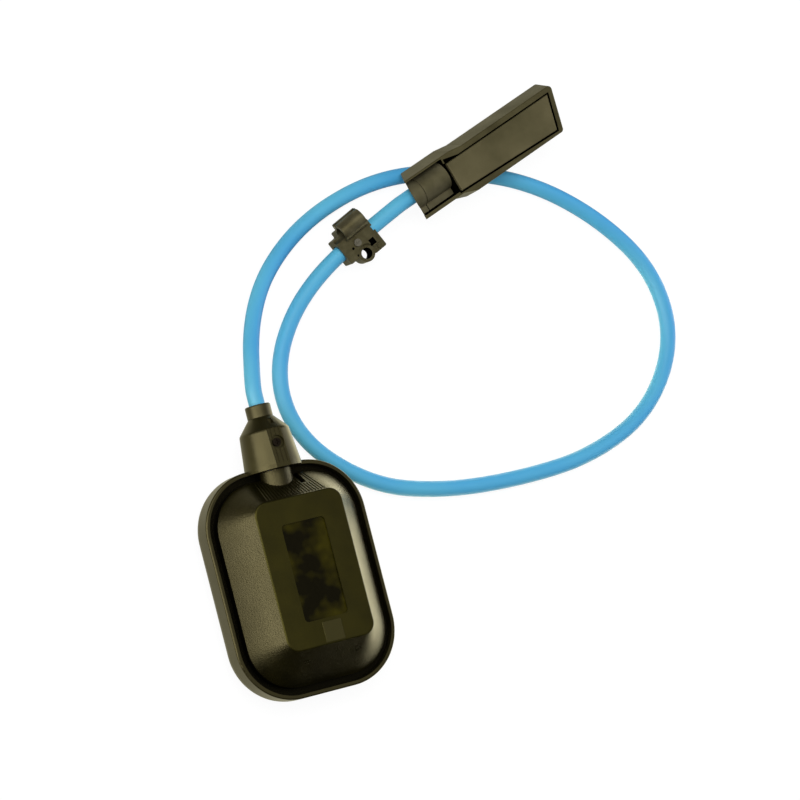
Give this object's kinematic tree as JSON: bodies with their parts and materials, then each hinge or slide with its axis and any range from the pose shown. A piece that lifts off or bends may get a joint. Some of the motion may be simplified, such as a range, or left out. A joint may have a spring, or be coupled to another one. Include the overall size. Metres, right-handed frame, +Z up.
{
  "type": "float switch",
  "caption": "Black float switch with a raised cover and conical neck, on a blue cord that ends in a plug connector, with a hinged clip on the cord.",
  "frame": {"origin": "middle of the float's box, on the surface it lies on", "axes": "+Y along the float toward its neck, +Z up through its cover, +X across it"},
  "size_m": [0.2895, 0.274, 0.0393],
  "materials": {
    "tub": "satin moulded black",
    "cover": "satin moulded black, finely grained on its slopes",
    "seal": "dull",
    "screw": "blackened steel",
    "saddle": "moulded",
    "bush": "satin",
    "tray": "moulded natural",
    "switch": "moulded",
    "contact": "bright",
    "plunger": "moulded red",
    "spring_leaf": "bright",
    "pin": "bright",
    "ball": "polished steel",
    "core_brown": "insulation",
    "core_blue": "insulation",
    "core_black": "insulation",
    "connector": "satin moulded black",
    "connector_lid": "satin moulded black",
    "bridge": "satin moulded black",
    "block": "moulded",
    "clip": "satin moulded black",
    "clip_jaw": "satin moulded black",
    "clip_screw": "blackened steel",
    "cord": "satin blue sheath"
  },
  "bodies": {
    "float": {"body_shell": "tub", "cover_shell": "cover", "cover_seal": "seal", "neck_screw": "screw", "clamp_saddle": "saddle", "cable_bush": "bush", "switch_tray": "tray", "tray_screws": "screw", "switch_case": "switch", "switch_terminals": "contact", "lever_pin": "pin", "core_brown": "core_brown", "core_blue": "core_blue", "core_black": "core_black", "connector_housing": "connector", "connector_lid": "connector_lid", "clamp_bridge": "bridge", "contact_block": "block", "contact_sockets": "contact", "spigot_seal": "seal", "lead_brown": "core_brown", "lead_blue": "core_blue", "lead_black": "core_black", "clip_base": "clip", "clip_pin": "pin", "clip_screw": "clip_screw", "cord": "cord"},
    "ball": {"steel_ball": "ball"},
    "lever": {"lever": "spring_leaf"},
    "plunger": {"plunger": "plunger"},
    "clip_jaw": {"clip_jaw": "clip_jaw"}
  },
  "joints": [
    {"name": "ball_roll", "type": "slide", "parent": "float", "child": "ball", "axis": [0, 0.9986, 0.0523], "range_m": [0, 0.016]},
    {"name": "lever_tilt", "type": "hinge", "parent": "float", "child": "lever", "pos_m": [0, -0.0188, 0.0308], "axis": [1, 0, 0], "range_deg": [0, 13.51]},
    {"name": "plunger_press", "type": "slide", "parent": "float", "child": "plunger", "axis": [0, 1, 0], "range_m": [0, 0.00151]},
    {"name": "clip_jaw_open", "type": "hinge", "parent": "float", "child": "clip_jaw", "pos_m": [0.07316, 0.15326, 0.01514], "axis": [-0.8811, -0.4417, -0.1691], "range_deg": [0, 60]}
  ],
  "couplings": [
    {"joint": "lever_tilt", "follows": "ball_roll", "rad_per_m": 14.726},
    {"joint": "plunger_press", "follows": "ball_roll", "ratio": 0.09375}
  ]
}
